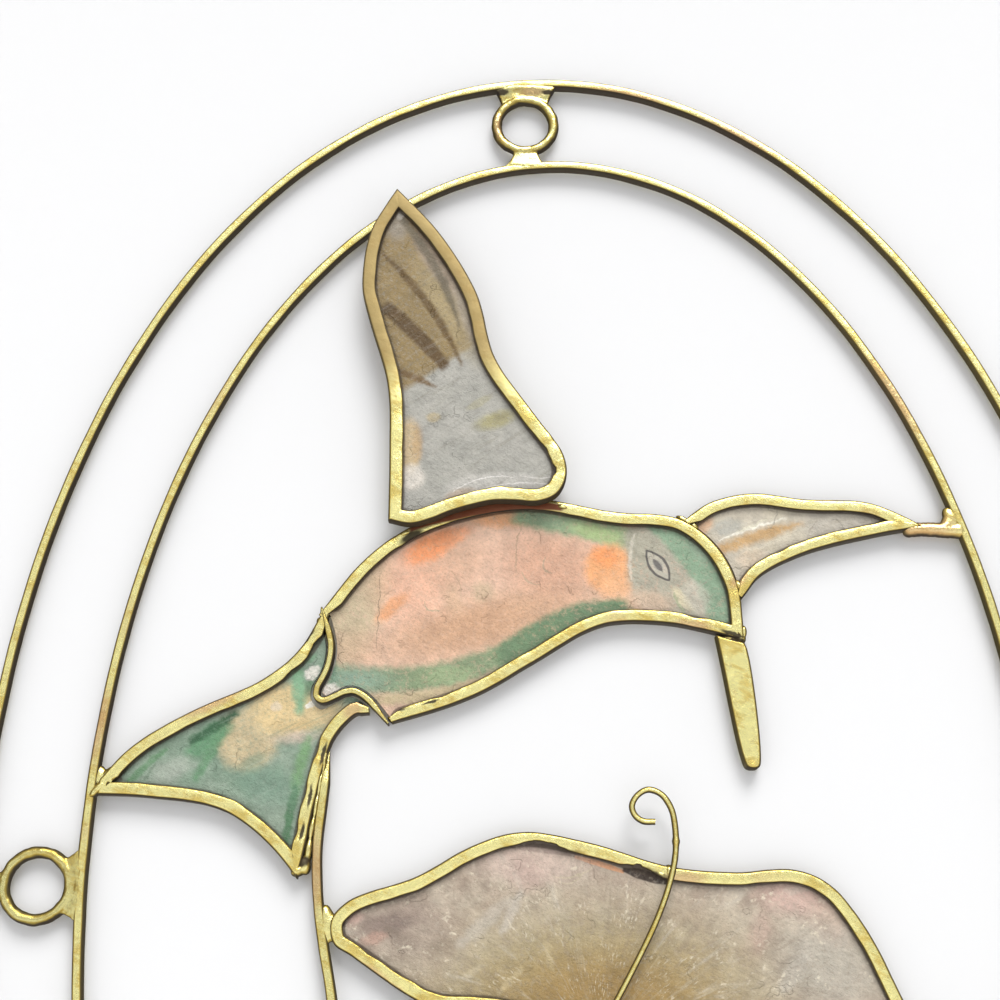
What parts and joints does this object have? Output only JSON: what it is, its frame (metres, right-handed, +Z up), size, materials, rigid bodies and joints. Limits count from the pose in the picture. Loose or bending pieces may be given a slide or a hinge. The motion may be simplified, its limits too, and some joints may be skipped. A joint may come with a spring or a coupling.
{
  "type": "capiz shell suncatcher",
  "caption": "Hanging sun ornament: nested brass ovals with a shell hummingbird at a shell flower, each shell in a brass came.",
  "frame": {"origin": "middle of the flat at the top of the hanging ring's hole, where the hook bears", "axes": "+Z up as it hangs, front (the side with the raised wing) towards -Y, +X to the right seen from the front"},
  "size_m": [0.2002, 0.0059, 0.3066],
  "materials": {
    "brass_wire": "satin",
    "brass_came": "satin",
    "copper_wire": "satin",
    "wing_shell": "satin",
    "body_shell": "satin",
    "tail_shell": "satin",
    "petal_shell": "satin"
  },
  "bodies": {
    "root": {"outer_oval": "brass_wire", "inner_oval": "brass_wire", "hanging_ring": "brass_wire", "left_ring": "brass_wire", "right_ring": "brass_wire", "bottom_ring": "brass_wire", "stem": "brass_wire", "stamen": "brass_wire", "tail_divider": "brass_wire", "upper_wing_frame": "brass_came", "upper_wing_shell": "wing_shell", "body_frame": "brass_came", "body_shell": "body_shell", "tail_frame": "brass_came", "tail_shell": "tail_shell", "far_wing_frame": "brass_came", "far_wing_shell": "wing_shell", "top_petal_frame": "brass_came", "top_petal_shell": "petal_shell", "left_petal_frame": "brass_came", "left_petal_shell": "petal_shell", "right_petal_frame": "brass_came", "right_petal_shell": "petal_shell", "beak": "brass_came", "far_wing_tie": "copper_wire"}
  },
  "joints": []
}
